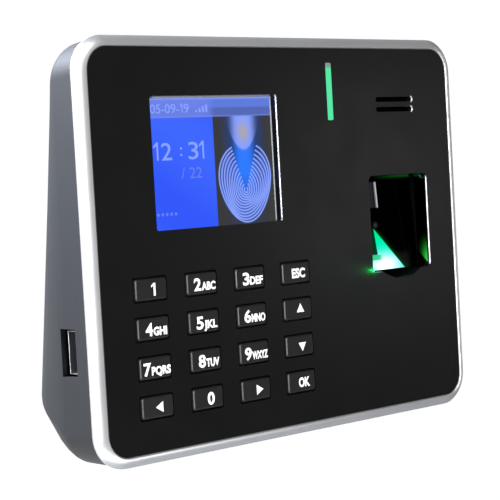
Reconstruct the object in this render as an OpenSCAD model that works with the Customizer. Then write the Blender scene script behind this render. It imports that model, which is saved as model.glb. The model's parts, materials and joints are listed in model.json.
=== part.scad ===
// Wall-mounted fingerprint terminal.
// Origin: centre of the wall plate's screw pattern, on the wall side of the plate.
// +Z is up, +Y points into the wall, and the face looks along -Y, leaning back by face_tilt.
// Most pieces are drawn in the face's own axes: x to the right, y up the face, z out of it,
// with z = 0 on the black front panel. on_face() puts them in place.

/* [Case] */
// Width over the silver rim
case_w = 180; // [172:1:240]
// Height over the silver rim, measured up the face
case_h = 138.4; // [134:1:190]
// Corner radius of the case's outline
case_r = 12; // [10:0.5:18]
// Lean of the face away from the wall, in degrees
face_tilt = 9; // [6:0.5:12]
// Depth from the front panel to the shell's back, at the middle of the face
case_depth = 27.6; // [26:0.1:40]
// Wall thickness of the rear shell
shell_wall = 2.2; // [1.6:0.1:3]
// Rounding of the shell's side and top edges, at the back
side_round = 5; // [3:0.5:7]
// Rounding of the shell's bottom edge, at the back
bottom_round = 20; // [14:1:24]
// Gap between the silver rim and the rear shell
seam_gap = 0.3; // [0.2:0.1:0.8]

/* [Front] */
// Width of the silver rim at the sides
rim_side = 4.5; // [3.5:0.1:6]
// Width of the silver rim at the top and bottom
rim_end = 3.7; // [3:0.1:5]
// Height of the rim's inner lip above the panel
rim_lip = 0.4; // [0.2:0.1:1]
// Drop of the rim's front from its lip to its outer edge
rim_drop = 2.4; // [1.5:0.1:3]
// Thickness of the front panel
panel_t = 2.5; // [1.5:0.1:3]
// Thickness of the frame's deck behind the panel
deck_t = 2; // [1.5:0.1:3]

/* [Screen] */
// Width of the window in the panel
window_w = 56.4; // [50:0.1:64]
// Height of the window in the panel
window_h = 43.7; // [38:0.1:50]
// Window centre, right of the panel's centre
window_x = -32.75; // [-36:0.1:-30]
// Window centre, above the panel's centre
window_y = 27.65; // [26:0.05:32]
// Width of the display's glass
lcd_w = 64; // [60:0.5:68]
// Height of the display's glass
lcd_h = 49; // [46:0.5:52]
// Thickness of the display's glass
lcd_glass_t = 1.2; // [0.8:0.1:2]
// Thickness of the display's metal frame, behind the glass
lcd_frame_t = 2.7; // [2:0.1:3]

/* [Keypad] */
// Width of a key's cap
key_w = 13.1; // [11:0.1:14]
// Height of a key's cap
key_h = 7; // [6:0.1:8]
// How far a key stands out of the panel
key_proud = 0.7; // [0.3:0.1:1.5]
// Clearance between a key and its hole in the panel
key_gap = 0.65; // [0.4:0.05:0.8]
// Spacing of the key columns
key_pitch_x = 21.85; // [20:0.05:23]
// Spacing of the key rows
key_pitch_y = 12.72; // [12:0.02:13]
// Centre of the left key column
keys_x = -65.35; // [-68:0.05:-62]
// Centre of the top key row
keys_y = -12.6; // [-14:0.1:-12]
// Travel of a key
key_travel = 0.6; // [0.3:0.1:0.8]

/* [Fingerprint sensor] */
// Width of the finger opening
finger_w = 31.5; // [28:0.1:36]
// Height of the finger opening, without its rounded foot
finger_h = 35.3; // [32:0.1:36]
// Centre of the opening, right of the panel's centre
finger_x = 55.95; // [54:0.1:60]
// Centre of the opening, above the panel's centre
finger_y = 1.65; // [0:0.05:4]
// How far the opening's foot reaches below its straight part
finger_foot = 3; // [1:0.1:3.5]
// Depth of the glass below the panel, at the bottom of the opening
glass_low = 6; // [5:0.1:7]
// Depth of the glass below the panel, at the top of the opening
glass_high = 8.5; // [7:0.1:9.5]

/* [Light and speaker] */
// Width of the light bar
bar_w = 2.9; // [2:0.1:4]
// Length of the light bar
bar_h = 20.4; // [14:0.1:22]
// Centre of the light bar, right of the panel's centre
bar_x = 22.3; // [18:0.05:28]
// Centre of the light bar, above the panel's centre
bar_y = 50.2; // [48:0.1:52]
// Length of a sound slot
slot_w = 19.8; // [14:0.1:21]
// Height of a sound slot
slot_h = 1.8; // [1:0.1:2]
// Spacing of the two sound slots
slot_pitch = 3.65; // [2.6:0.05:4.5]
// Centre of the sound slots, right of the panel's centre
slot_x = 56.1; // [54:0.1:62]
// Centre of the sound slots, above the panel's centre
slot_y = 45.2; // [42:0.05:47]
// Diameter of the loudspeaker
speaker_d = 23; // [20:0.5:24]

/* [Wall plate] */
// Width of the wall plate
plate_w = 84; // [80:1:86]
// Height of the wall plate
plate_h = 84; // [80:1:86]
// Thickness of the wall plate
plate_t = 1.5; // [1:0.1:2]
// Spacing of the wall screws across
wall_screw_x = 72; // [70:0.5:74]
// Spacing of the wall screws up
wall_screw_z = 68; // [62:0.5:72]
// Diameter of the wall screws' holes
wall_screw_d = 4.5; // [3.5:0.1:5]
// Depth of the pocket in the shell that takes the plate and the screw heads
pocket_depth = 5.6; // [5:0.1:7]

/* [Electronics] */
// Front of the main board, behind the panel's front
board_front = 9.3; // [8.8:0.1:10]
// Thickness of the main board
board_t = 1.6; // [1.2:0.1:1.6]
// Thickness of the keypad's board
key_board_t = 1.2; // [0.8:0.1:1.3]
// Length of the USB slot in the shell's side
usb_slot_l = 15.5; // [15:0.1:17]
// Height of the USB slot in the shell's side
usb_slot_t = 8.4; // [6.8:0.1:9]
// Centre of the USB slot, above the panel's centre
usb_y = -31.3; // [-32:0.05:-28]

/* [Hidden] */
$fn = 48;
eps = 0.01;
fit_gap = 0.3;                                   // between neighbours that slide together at assembly
panel_w = case_w - 2 * rim_side;
panel_h = case_h - 2 * rim_end;
panel_r = case_r - 4;
deck_front = -panel_t;
deck_back = deck_front - deck_t;
shell_front = deck_front - 0.4 - seam_gap;       // the shell's open edge
rim_back = shell_front + seam_gap;               // the rim's rear face
flange_top = deck_front - 0.1;                   // the rim's flange, which carries the deck
flange_low = deck_front - 0.9;
shell_inset = 0.5;                               // the shell stands this far inside the rim's outline
tongue_inset = shell_inset + shell_wall + 0.5;   // the frame's tongue stands clear of the leaning walls
bottom_flat = 1.33;                              // above 1, the bottom edge is nearer to a slanted flat than to a round
shell_draft = 0.8;                               // the shell's sides lean in by this much at the back
corner_steps = 10;                               // steps in each rounded corner
round_steps = 9;                                 // steps round the shell's back edge
rim_steps = 8;                                   // steps across the rim's crown

back_gap = 0.4;                                  // the shell's back to the wall
slope = tan(face_tilt);
back_normal = cos(face_tilt);
face_y = -(case_depth + back_gap / back_normal) * back_normal;  // the panel's centre in the row's frame
face_z = -4;
shell_back_half = case_h / 2 - shell_inset;

pocket_w = plate_w + 3;
pocket_h = plate_h + 3;
pocket_floor = back_gap + pocket_depth;          // distance of the pocket's floor from the wall
pocket_wall = 2;
cable_w = 62;                                    // cable opening in the plate
cable_h = 22;
cable_z = -27;
hook_x = 24;                                     // the plate's two hooks
hook_z = 22;
hook_w = 10;
hook_reach = pocket_floor + shell_wall + 1.2;
hook_rise = 5;
lug_w = 12;                                      // the plate's lower lug, which takes the lock screw
lug_reach = 5;
lock_r = 1.5;
lock_x = 0;
lock_y = -3.2;

key_hole_w = key_w + 2 * key_gap;
key_hole_h = key_h + 2 * key_gap;
key_flange = 1.25;                               // the flange is this much wider than the cap, each side
flange_front = deck_front - 0.35;
flange_t = 0.8;
key_board_front = -6.1;
pill_back = key_board_front + key_travel + 0.35; // the key's contact pill, above the board
mat_margin = 1.7;
keys_w = 3 * key_pitch_x + key_w + 2 * key_flange;
keys_h = 3 * key_pitch_y + key_h + 2 * key_flange;
keys_mid_x = keys_x + 1.5 * key_pitch_x;
keys_mid_y = keys_y - 1.5 * key_pitch_y;
mat_w = keys_w + 2 * fit_gap + 2 * mat_margin;
mat_h = keys_h + 2 * fit_gap + 2 * mat_margin;
key_board_w = mat_w + 3;
key_board_top = keys_mid_y + mat_h / 2 + 4.8;
key_board_low = keys_mid_y - mat_h / 2 - 4.8;
key_post_r = 2.1;
key_posts = [for (x = [keys_mid_x - 27, keys_mid_x + 27])
             for (y = [key_board_top - key_post_r, key_board_low + key_post_r]) [x, y]];

lcd_front = deck_front - 0.5;
lcd_frame_front = lcd_front - lcd_glass_t;
lcd_back = lcd_frame_front - lcd_frame_t;

board_back = -board_front - board_t;
board_top = 22;
board_low = usb_y - usb_slot_l / 2 - 1.2;
board_left = -case_w / 2 + 7;
board_right = finger_x - finger_w / 2 - 4.5;
board_post_r = 2.5;
board_posts = [[board_left + 4, board_top - 4], [board_left + 3, -19],
               [board_right - 4, board_top - 4], [board_right - 4, board_low + 4]];

finger_wall = 2.4;
well_back = -12;
well_top = finger_y + finger_h / 2 + finger_wall;
well_low = finger_y - finger_h / 2 - finger_foot - finger_wall;
foot_half = 10.5;
foot_r = (foot_half * foot_half + finger_foot * finger_foot) / (2 * finger_foot);
glass_gap = 0.2;
sensor_board_t = 1.2;
camera_r = 4.8;
camera_x = finger_x + 2;
camera_back = -17.2;

bar_back = -5.8;
led_t = 0.8;
led_board_t = 1;

usb_h = 6.2;
usb_w = 14.2;
usb_l = 14;
usb_mid = board_back - usb_h / 2;
usb_mouth = -case_w / 2 + shell_inset + shell_wall + 0.7;
usb_sheet = 0.4;

jack_y = -22;
jack_clear = 0.4;
network_w = 16;
network_h = 14;
network_x = -22;
power_w = 9;
power_h = 11;
power_x = -6.5;
terminal_ways = 7;
terminal_pitch = 3.81;
terminal_w = terminal_ways * terminal_pitch + 1.2;
terminal_h = 8.4;
terminal_x = 16;

tamper_x = 24;
tamper_y = 8;
tamper_r = 1.5;
tamper_travel = 1.5;
reset_x = -30;
reset_y = 8;
reset_r = 1.2;
reset_travel = 0.4;

boss_r = 3.4;
post_r = 5;
post_h = 6.6;
screw_r = 1.5;
screw_clear_r = 1.7;
head_r = 2.9;
head_h = 2;
head_well_r = 3.3;
head_well = 4.2;
screw_l = 9;
case_screw_at = [for (side = [-1, 1]) each [[side * (case_w / 2 - 12.2), case_h / 2 - 13.5],
                                            [side * (case_w / 2 - 9.6), -case_h / 2 + 22]]];

KEY_ROWS = [["key_1", "key_2", "key_3", "key_escape"],
            ["key_4", "key_5", "key_6", "key_up"],
            ["key_7", "key_8", "key_9", "key_down"],
            ["key_left", "key_0", "key_right", "key_confirm"]];

// ---------- helpers ----------

module on_face() translate([0, face_y, face_z]) rotate([90 - face_tilt, 0, 0]) children();

// Moves a shape drawn on the face so that z = 0 is at height z_at.
module at(x, y, z_at = 0) translate([x, y, z_at]) children();

// Depth of the shell's back plane below the panel, at height y on the face.
function back_depth(y) = case_depth - y * slope;

// Depth of the pocket's floor (its wall side) below the panel, at height y on the face.
function floor_depth(y) = back_depth(y) - pocket_depth / back_normal;

function mix(a, b, t) = a + (b - a) * t;
function smooth(t) = let (c = min(max(t, 0), 1)) c * c * (3 - 2 * c);

// Rounded rectangle as a list of points, anticlockwise from the right.
function outline(half_w, top, low, r) = [
    for (q = [0 : 3]) for (i = [0 : corner_steps])
        let (a = 90 * q + 90 * i / corner_steps,
             cx = (q == 0 || q == 3 ? 1 : -1) * (half_w - r),
             cy = q < 2 ? top - r : r - low)
        [cx + r * cos(a), cy + r * sin(a)]];

// Skin over a list of rings that have the same number of points, from the bottom up along the
// outside. Open ends are capped.
module skin(rings, closed = false) {
    count = len(rings[0]);
    last = len(rings) - 1;
    sides = [for (j = [0 : closed ? last : last - 1]) for (i = [0 : count - 1])
             let (a = j * count + i, b = j * count + (i + 1) % count,
                  c = ((j + 1) % len(rings)) * count + i,
                  d = ((j + 1) % len(rings)) * count + (i + 1) % count)
             each [[a, d, b], [a, c, d]]];
    caps = closed ? [] : [[for (i = [0 : count - 1]) i],
                          [for (i = [count - 1 : -1 : 0]) last * count + i]];
    polyhedron([for (ring = rings) each ring], concat(sides, caps), convexity = 10);
}

module rounded(w, h, r) {
    square([w - 2 * r, h], center = true);
    square([w, h - 2 * r], center = true);
    for (x = [-1, 1]) for (y = [-1, 1])
        translate([x * (w / 2 - r), y * (h / 2 - r)]) circle(r);
}

module slab(w, h, r, front, back) translate([0, 0, back]) linear_extrude(front - back) rounded(w, h, r);

module block(w, h, front, back) translate([-w / 2, -h / 2, back]) cube([w, h, front - back]);

module rod(r, front, back) translate([0, 0, back]) cylinder(r = r, h = front - back);

module per_key() for (row = [0 : 3]) for (column = [0 : 3])
    translate([keys_x + column * key_pitch_x, keys_y - row * key_pitch_y]) children();

module finger_outline(grow = 0) {
    translate([finger_x, finger_y]) rounded(finger_w + 2 * grow, finger_h + 2 * grow, 2 + grow);
    intersection() {
        translate([finger_x, finger_y - finger_h / 2 - finger_foot + foot_r]) circle(foot_r + grow, $fn = 96);
        translate([finger_x - foot_half - 3, finger_y - finger_h / 2 - finger_foot - grow - 1])
            square([2 * foot_half + 6, 12]);
    }
}

module sound_slots() for (side = [-0.5, 0.5])
    translate([slot_x, slot_y + side * slot_pitch]) rounded(slot_w, slot_h, slot_h / 2 - eps);

// ---------- case ----------

// One ring of the shell: inset g inside the outside surface, phi from 0 (side wall) to 90 (back).
function shell_ring(g, phi) =
    let (a = max(side_round - g, 1), b = bottom_round - g, k = 1 - cos(phi),
         kb = 1 - pow(cos(phi), bottom_flat),
         half_w = case_w / 2 - shell_inset - g, half_h = shell_back_half - g)
    [for (p = outline(half_w - shell_draft - a * k, half_h - shell_draft - a * k,
                      half_h - b * kb, case_r - g - 0.6 * a * k))
        let (s = smooth((-p[1] - (half_h - b - 6)) / (0.45 * b + 6)), r = mix(a, b, s),
             e = mix(1, bottom_flat, s))
        [p[0], p[1], -(back_depth(p[1]) - g - r * (1 - pow(sin(phi), e)))]];

// The shell's outside form, or with an inset the space inside it.
module shell_form(g = 0) {
    half_w = case_w / 2 - shell_inset - g;
    half_h = shell_back_half - g;
    front = g == 0 ? shell_front : shell_front + 1;
    skin(concat([for (phi = [90 : -90 / round_steps : 0]) shell_ring(g, phi)],
                [[for (p = outline(half_w, half_h, half_h, case_r - g)) [p[0], p[1], front]]]));
}

module rear_shell() color([0.27, 0.28, 0.3]) difference() {
    union() {
        on_face() difference() {
            shell_form();
            shell_form(shell_wall);
        }
        // pocket for the wall plate
        translate([-pocket_w / 2 - pocket_wall, -pocket_floor - shell_wall, -pocket_h / 2 - pocket_wall])
            cube([pocket_w + 2 * pocket_wall, pocket_floor + shell_wall - back_gap - 1, pocket_h + 2 * pocket_wall]);
        // channel under the pocket, for the lock screw's driver
        intersection() {
            on_face() shell_form();
            translate([-lug_w / 2 - pocket_wall, -pocket_floor - shell_wall, -case_h / 2])
                cube([lug_w + 2 * pocket_wall, pocket_floor + shell_wall + 1, case_h / 2 - pocket_h / 2]);
        }
        // posts for the case screws, which end inside the wall
        on_face() intersection() {
            shell_form(shell_wall / 2);
            for (p = case_screw_at) at(p[0], p[1]) rod(post_r, post_h - back_depth(p[1]), -back_depth(p[1]));
        }
    }
    translate([-pocket_w / 2, -pocket_floor, -pocket_h / 2]) cube([pocket_w, pocket_floor + 1, pocket_h]);
    translate([-lug_w / 2, -pocket_floor, -case_h / 2 - 20])
        cube([lug_w, pocket_floor + 1, case_h / 2 + 20 - pocket_h / 2 - pocket_wall]);
    translate([lock_x, lock_y, -pocket_h / 2 - pocket_wall - 1]) cylinder(r = screw_clear_r, h = pocket_wall + 2);
    // slots for the plate's hooks
    for (x = [-hook_x, hook_x]) translate([x - hook_w / 2 - 1, -pocket_floor - shell_wall - 1, hook_z - 2])
        cube([hook_w + 2, shell_wall + 2, hook_rise + plate_t + 4]);
    on_face() {
        for (p = case_screw_at) at(p[0], p[1]) {
            rod(screw_clear_r, post_h - back_depth(p[1]) + 1, -back_depth(p[1]) - 1);
            rod(head_well_r, head_well - back_depth(p[1]), -back_depth(p[1]) - 2);
        }
        // USB slot
        translate([-case_w / 2 - 1, usb_y - usb_slot_l / 2, usb_mid - usb_slot_t / 2])
            cube([shell_inset + shell_wall + shell_draft + 1.6, usb_slot_l, usb_slot_t]);
        // openings to the sockets
        at(network_x, jack_y) block(network_w + 2 * jack_clear, network_h + 2 * jack_clear, -14, -40);
        at(power_x, jack_y) block(power_w + 2 * jack_clear, power_h + 2 * jack_clear, -14, -40);
        at(terminal_x, jack_y) block(terminal_w + 2 * jack_clear, terminal_h + 2 * jack_clear, -14, -40);
        at(tamper_x, tamper_y) rod(tamper_r + fit_gap, -12, -40);
        at(reset_x, reset_y) rod(reset_r + fit_gap, -12, -40);
    }
}

// The rim's section, from its outer edge (t = 1) over the crown to its inner edge (t = 0).
rim_profile = concat([[1, rim_back]],
                     [for (i = [rim_steps : -1 : 1]) let (t = i / rim_steps) [t, rim_lip - rim_drop * t * t]],
                     [[0, 0], [0, flange_top], [-0.4, flange_top], [-0.4, flange_low],
                      [0.15, flange_low], [0.15, rim_back]]);

module rim() {
    inner = outline(panel_w / 2, panel_h / 2, panel_h / 2, panel_r);
    outer = outline(case_w / 2, case_h / 2, case_h / 2, case_r);
    skin([for (q = rim_profile) [for (i = [0 : len(inner) - 1])
          [mix(inner[i][0], outer[i][0], q[0]), mix(inner[i][1], outer[i][1], q[0]), q[1]]]], closed = true);
}

module front_frame() color([0.78, 0.79, 0.8]) on_face() {
    rim();
    difference() {
        union() {
            slab(panel_w - 1, panel_h - 1, panel_r - 0.5, deck_front, deck_back);
            // tongue inside the shell's mouth
            difference() {
                slab(case_w - 2 * tongue_inset, case_h - 2 * tongue_inset, case_r - tongue_inset,
                     rim_back + 0.2, deck_back);
                slab(panel_w - 3, panel_h - 3, panel_r - 1.5, rim_back + 1, deck_back - 1);
            }
            for (p = board_posts) at(p[0], p[1]) rod(board_post_r, deck_front, -board_front);
            for (p = key_posts) at(p[0], p[1]) rod(key_post_r, deck_front, key_board_front);
            for (p = case_screw_at) at(p[0], p[1]) rod(boss_r, deck_front, post_h - back_depth(p[1]));
        }
        at(window_x, window_y) slab(lcd_w + 2 * fit_gap, lcd_h + 2 * fit_gap, 1, 1, deck_back - 1);
        at(keys_mid_x, keys_mid_y) slab(mat_w + 2 * fit_gap, mat_h + 2 * fit_gap, 1, 1, deck_back - 1);
        at(finger_x, (well_top + well_low) / 2)
            slab(finger_w + 2 * finger_wall + 2 * fit_gap, well_top - well_low + 2 * fit_gap, 2, 1, deck_back - 1);
        at(bar_x, bar_y) slab(bar_w + 2 + 2 * fit_gap, bar_h + 2 + 2 * fit_gap, 1, 1, deck_back - 1);
        at(slot_x, slot_y) rod(speaker_d / 2 + fit_gap, 1, deck_back - 1);
        for (p = board_posts) at(p[0], p[1]) rod(1, deck_back, -board_front - 1);
        for (p = key_posts) at(p[0], p[1]) rod(0.8, deck_back, key_board_front - 1);
        for (p = case_screw_at) at(p[0], p[1]) rod(screw_r, deck_back, -back_depth(p[1]));
    }
}

module front_panel() color([0.09, 0.09, 0.095]) on_face() translate([0, 0, -panel_t]) linear_extrude(panel_t)
    difference() {
        rounded(panel_w - 0.1, panel_h - 0.1, panel_r);
        translate([window_x, window_y]) rounded(window_w, window_h, 1);
        translate([bar_x, bar_y]) rounded(bar_w, bar_h, 0.5);
        sound_slots();
        finger_outline();
        per_key() rounded(key_hole_w, key_hole_h, 0.9);
    }

// ---------- wall plate and fasteners ----------

module wall_plate() color([0.7, 0.71, 0.72]) difference() {
    union() {
        rotate([90, 0, 0]) linear_extrude(plate_t) rounded(plate_w, plate_h, 4);
        for (x = [-hook_x, hook_x]) {
            translate([x - hook_w / 2, -hook_reach, hook_z]) cube([hook_w, hook_reach, plate_t]);
            translate([x - hook_w / 2, -hook_reach, hook_z]) cube([hook_w, plate_t, hook_rise]);
        }
        translate([-lug_w / 2 + 0.5, -lug_reach, -plate_h / 2]) cube([lug_w - 1, lug_reach, plate_t]);
    }
    for (x = [-0.5, 0.5]) for (z = [-0.5, 0.5])
        translate([x * wall_screw_x, 1, z * wall_screw_z]) rotate([90, 0, 0]) cylinder(d = wall_screw_d, h = plate_t + 2);
    translate([0, 1, cable_z]) rotate([90, 0, 0]) linear_extrude(plate_t + 2) rounded(cable_w, cable_h, 3);
    // window left in the sheet where each hook was bent out
    for (x = [-hook_x, hook_x]) translate([x - hook_w / 2, -plate_t - 1, hook_z + plate_t])
        cube([hook_w, plate_t + 2, 8]);
    translate([lock_x, lock_y, -plate_h / 2 - 1]) cylinder(r = lock_r, h = plate_t + 2);
}

module lock_screw() color([0.6, 0.6, 0.62]) translate([lock_x, lock_y, -pocket_h / 2 - pocket_wall]) {
    cylinder(r = lock_r - 0.02, h = pocket_wall + 4);
    difference() {
        translate([0, 0, -2]) cylinder(r = 2.7, h = 2);
        translate([0, 0, -3]) for (a = [0, 90]) rotate(a) translate([-0.4, -1.8, 0]) cube([0.8, 3.6, 2.2]);
    }
}

// Cross-headed screw along z: the head's seat at z = 0, the shank towards +z.
module screw(r, l, head, tall) {
    rod(r - 0.02, l, -eps);
    difference() {
        rod(head, 0, -tall);
        for (a = [0, 90]) rotate(a) block(head * 0.3, head * 1.3, -tall * 0.45, -tall - 1);
    }
}

module case_screws() color([0.2, 0.2, 0.21]) on_face() for (p = case_screw_at)
    at(p[0], p[1], head_well - back_depth(p[1])) screw(screw_r, min(screw_l, post_h - head_well
        + (back_depth(p[1]) - post_h + deck_back) - 0.5), head_r, head_h);

module board_screws() color([0.7, 0.7, 0.72]) on_face() for (p = board_posts)
    at(p[0], p[1], board_back) screw(1, board_t + 3, 2, 1.4);

module keypad_screws() color([0.7, 0.7, 0.72]) on_face() for (p = key_posts)
    at(p[0], p[1], key_board_front - key_board_t) screw(0.8, key_board_t + 1.3, 1.6, 0.9);

// ---------- display ----------

module lcd_glass() color([0.2, 0.32, 0.95]) on_face() at(window_x, window_y)
    slab(lcd_w, lcd_h, 0.6, lcd_front, lcd_frame_front);

module lcd_frame() color([0.75, 0.76, 0.78]) on_face() at(window_x, window_y) difference() {
    slab(lcd_w, lcd_h, 0.8, lcd_frame_front, lcd_back);
    slab(lcd_w - 2, lcd_h - 2, 0.4, lcd_frame_front + 1, lcd_back + 0.5);
}

module backlight() color([0.93, 0.95, 1]) on_face() at(window_x, window_y)
    slab(lcd_w - 2.6, lcd_h - 2.6, 0.3, lcd_frame_front - 0.2, lcd_back + 0.8);

// Flat cable folded under the display and back to the main board.
module lcd_ribbon() color([0.75, 0.45, 0.12]) on_face() {
    width = 20;
    thick = 0.2;
    bend = (board_front + lcd_back) / 2;
    low = window_y - lcd_h / 2 + 0.5;
    translate([window_x - width / 2, 0, 0]) rotate([90, 0, 90]) linear_extrude(width) {
        translate([low, lcd_back - thick]) square([8, thick]);
        translate([low, -board_front]) square([9, thick]);
        translate([low, lcd_back - bend]) intersection() {
            difference() {
                circle(bend);
                circle(bend - thick);
            }
            translate([-2 * bend, -bend]) square([2 * bend, 2 * bend]);
        }
    }
}

// ---------- light bar and speaker ----------

module light_bar() color([0.45, 0.9, 0.65]) on_face() at(bar_x, bar_y) {
    slab(bar_w - 0.1, bar_h - 0.1, 0.45, 0, -panel_t - eps);
    slab(bar_w + 2, bar_h + 2, 1, -panel_t, bar_back);
}

module status_leds() color([0.95, 0.95, 0.85]) on_face() for (y = [-1 : 1])
    at(bar_x, bar_y + y * bar_h / 3) block(2.8, 3.5, bar_back, bar_back - led_t);

module led_board() color([0.1, 0.35, 0.2]) on_face() at(bar_x, bar_y)
    block(8, bar_h + 1.6, bar_back - led_t, bar_back - led_t - led_board_t);

module speaker_body() color([0.15, 0.15, 0.16]) on_face() at(slot_x, slot_y) difference() {
    union() {
        rod(speaker_d / 2, deck_front - 0.6, deck_front - 3.4);
        rod(speaker_d / 2 - 5, deck_front - 3, deck_front - 6.6);
    }
    rod(speaker_d / 2 - 1, deck_front, deck_front - 2.8);
}

module speaker_cone() color([0.3, 0.28, 0.25]) on_face() at(slot_x, slot_y) rotate_extrude()
    polygon([[0, deck_front - 1.9], [2.5, deck_front - 2.3], [speaker_d / 2 - 3.4, deck_front - 1.2],
             [speaker_d / 2 - 1.1, deck_front - 1.2], [speaker_d / 2 - 1.1, deck_front - 1.5],
             [speaker_d / 2 - 3.4, deck_front - 1.5], [2.5, deck_front - 2.6], [0, deck_front - 2.2]]);

module speaker_cloth() color([0.06, 0.06, 0.06]) on_face() at(slot_x, slot_y)
    rod(speaker_d / 2 - 0.2, deck_front - 0.05, deck_front - 0.55);

// ---------- fingerprint sensor ----------

module sensor_well() color([0.05, 0.05, 0.05]) on_face() difference() {
    at(finger_x, (well_top + well_low) / 2)
        slab(finger_w + 2 * finger_wall, well_top - well_low, 1.6, deck_front, well_back);
    translate([0, 0, -glass_high - 0.4]) linear_extrude(20) finger_outline();
    // seat of the glass
    at(finger_x, finger_y) block(finger_w, finger_h, 0, well_back - 1);
}

// Glass wedge that the finger is laid on: shallow at the bottom of the opening, deep at the top.
module prism() color([0.1, 0.55, 0.3]) on_face() {
    half = finger_h / 2 - glass_gap;
    translate([finger_x - finger_w / 2 + glass_gap, 0, 0]) rotate([90, 0, 90])
        linear_extrude(finger_w - 2 * glass_gap)
            polygon([[finger_y - half, -glass_low], [finger_y - half, well_back + 1],
                     [finger_y + half, well_back + 1], [finger_y + half, -glass_high]]);
}

module sensor_leds() color([0.6, 1, 0.7]) on_face() for (i = [-1.5 : 1 : 1.5])
    at(finger_x + i * 6.5, finger_y - finger_h / 2 + 3) block(3.2, 2.8, well_back + 1, well_back);

module sensor_board() color([0.1, 0.35, 0.2]) on_face() difference() {
    at(finger_x, (well_top + well_low) / 2)
        slab(finger_w + 2 * finger_wall, well_top - well_low, 1.6, well_back, well_back - sensor_board_t);
    at(camera_x, finger_y) rod(camera_r + 0.2, 0, well_back - 5);
}

module camera_lens() color([0.08, 0.08, 0.09]) on_face() at(camera_x, finger_y) difference() {
    rod(camera_r, well_back + 0.8, camera_back + 1);
    rod(camera_r - 2, well_back + 1, well_back - 1);
}

module camera_board() color([0.12, 0.12, 0.13]) on_face() at(camera_x, finger_y)
    slab(14, 16, 0.5, camera_back + 1, camera_back);

// Flat cable from the sensor's board to the main board.
module sensor_ribbon() color([0.75, 0.45, 0.12]) on_face() {
    thick = 0.25;
    right = finger_x - finger_w / 2 - finger_wall + 3;
    left = board_right - 6;
    step_at = board_right + 0.4;
    translate([0, finger_y - 11, 0]) rotate([90, 0, 0]) mirror([0, 0, 1]) linear_extrude(9)
        polygon([[left, board_back], [left, board_back - thick],
                 [step_at - thick, board_back - thick], [step_at, well_back - sensor_board_t - thick],
                 [right, well_back - sensor_board_t - thick], [right, well_back - sensor_board_t],
                 [step_at + thick, well_back - sensor_board_t], [step_at, board_back]]);
}

// ---------- keypad ----------

module key_shape() {
    hull() {
        slab(key_w, key_h, 0.8, key_proud - 0.45, flange_front - eps, $fn = 32);
        slab(key_w - 0.9, key_h - 0.9, 0.6, key_proud, key_proud - 0.46, $fn = 32);
    }
    block(key_w + 2 * key_flange, key_h + 2 * key_flange, flange_front, flange_front - flange_t);
    block(6, 3, flange_front - flange_t, pill_back);
}

module key(name) for (row = [0 : 3]) for (column = [0 : 3]) if (KEY_ROWS[row][column] == name)
    color([0.12, 0.12, 0.125]) on_face()
        at(keys_x + column * key_pitch_x, keys_y - row * key_pitch_y) key_shape();

module keypad_mat() color([0.16, 0.16, 0.17]) on_face() difference() {
    at(keys_mid_x, keys_mid_y) slab(mat_w, mat_h, 0.8, deck_front, key_board_front);
    per_key() block(key_w + 2 * key_flange + 2 * fit_gap, key_h + 2 * key_flange + 2 * fit_gap,
                    0, key_board_front - 1);
}

module keypad_board() color([0.1, 0.35, 0.2]) on_face() difference() {
    at(keys_mid_x, (key_board_top + key_board_low) / 2)
        slab(key_board_w, key_board_top - key_board_low, 1, key_board_front, key_board_front - key_board_t);
    for (p = key_posts) at(p[0], p[1]) rod(0.8, 0, -20);
}

// ---------- main board and what stands on it ----------

module main_board() color([0.08, 0.32, 0.18]) on_face() difference() {
    translate([board_left, board_low, board_back])
        cube([board_right - board_left, board_top - board_low, board_t]);
    for (p = board_posts) at(p[0], p[1]) rod(1, 0, -20);
}

module processor() color([0.1, 0.1, 0.11]) on_face() at(-55, 2) block(17, 17, board_back, board_back - 1.4);

module memory_chips() color([0.1, 0.1, 0.11]) on_face() for (y = [-6, 9])
    at(-72, y) block(8, 12, board_back, board_back - 1.1);

module usb_shell() color([0.75, 0.76, 0.78]) on_face() difference() {
    translate([usb_mouth, usb_y - usb_w / 2, usb_mid - usb_h / 2]) cube([usb_l, usb_w, usb_h]);
    translate([usb_mouth - 1, usb_y - usb_w / 2 + usb_sheet, usb_mid - usb_h / 2 + usb_sheet])
        cube([usb_l, usb_w - 2 * usb_sheet, usb_h - 2 * usb_sheet]);
}

module usb_tongue() color([0.9, 0.9, 0.9]) on_face()
    translate([usb_mouth + 3.4, usb_y - 5.4, usb_mid + 0.35]) cube([usb_l - 4.4, 10.8, 1.8]);

// Socket that opens away from the board: a box with a hollow.
module socket(x, y, w, h, mouth_w, mouth_h, back) at(x, y) difference() {
    block(w, h, board_back, back);
    block(mouth_w, mouth_h, board_back - 2, back - 1);
}

module network_jack() color([0.7, 0.71, 0.73]) on_face()
    socket(network_x, jack_y, network_w, network_h, 11.8, 8, -floor_depth(jack_y) + 0.4);

module power_jack() color([0.07, 0.07, 0.07]) on_face() at(power_x, jack_y) {
    difference() {
        block(power_w, power_h, board_back, -floor_depth(jack_y) + 0.6);
        rod(3.1, board_back - 2, -60);
    }
    rod(1, board_back - 1, -floor_depth(jack_y) + 2);
}

module wire_terminal() color([0.12, 0.45, 0.25]) on_face() at(terminal_x, jack_y) difference() {
    block(terminal_w, terminal_h, board_back, -floor_depth(jack_y) + 0.6);
    for (i = [0 : terminal_ways - 1]) translate([(i - (terminal_ways - 1) / 2) * terminal_pitch, -1.2, 0])
        rod(1.3, board_back - 5, -60);
}

module door_relay() color([0.12, 0.2, 0.55]) on_face() at(board_right - 13.5, -1)
    block(15, 7, board_back, board_back - 5);

module clock_battery() color([0.8, 0.8, 0.8]) on_face() at(-5, 4) rod(6.2, board_back, board_back - 2.4);

module capacitors() color([0.2, 0.22, 0.3]) on_face() for (x = [-56, -46])
    at(x, -30) rod(4, board_back, board_back - 9);

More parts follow.
